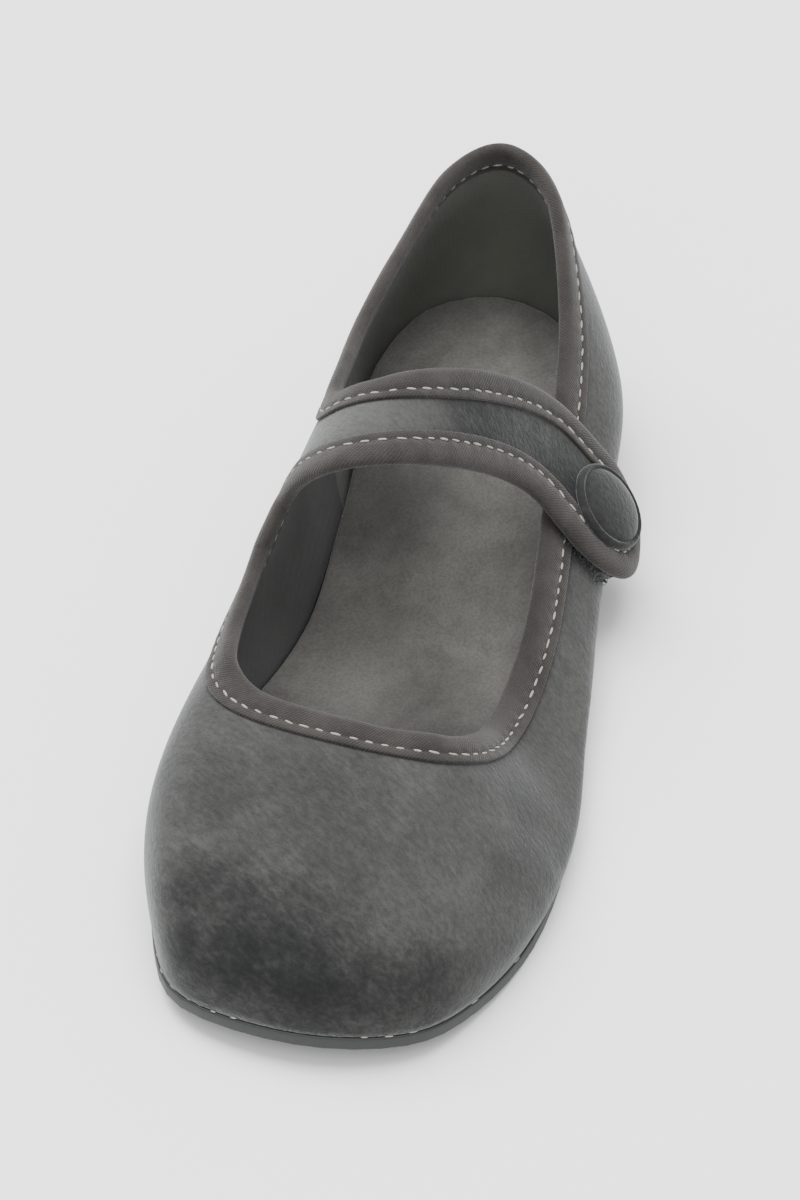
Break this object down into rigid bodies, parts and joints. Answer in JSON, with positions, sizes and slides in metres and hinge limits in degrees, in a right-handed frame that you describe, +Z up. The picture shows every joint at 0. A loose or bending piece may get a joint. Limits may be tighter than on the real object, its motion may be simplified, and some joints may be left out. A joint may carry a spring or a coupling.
{
  "type": "ballet flat",
  "caption": "Left ballet flat with a hollow bound upper, a strap over the instep that ends in a domed button, and a thin sprung sole on a low heel.",
  "frame": {"origin": "middle of the heel's flat face on the floor", "axes": "+X from heel to toe, +Y to the lateral side of this left shoe, +Z up"},
  "size_m": [0.2497, 0.0935, 0.0703],
  "materials": {
    "velvet": "soft pile, matt",
    "tape": "ribbed tape, matt",
    "rubber": "matt, moulded",
    "suede": "napped, matt",
    "fastening": "looped, matt"
  },
  "bodies": {
    "root": {"outsole": "rubber", "heel": "rubber", "insole": "suede", "upper": "velvet", "binding": "tape", "button": "velvet", "strap_patch": "fastening", "quarter_patch": "fastening"}
  },
  "joints": []
}
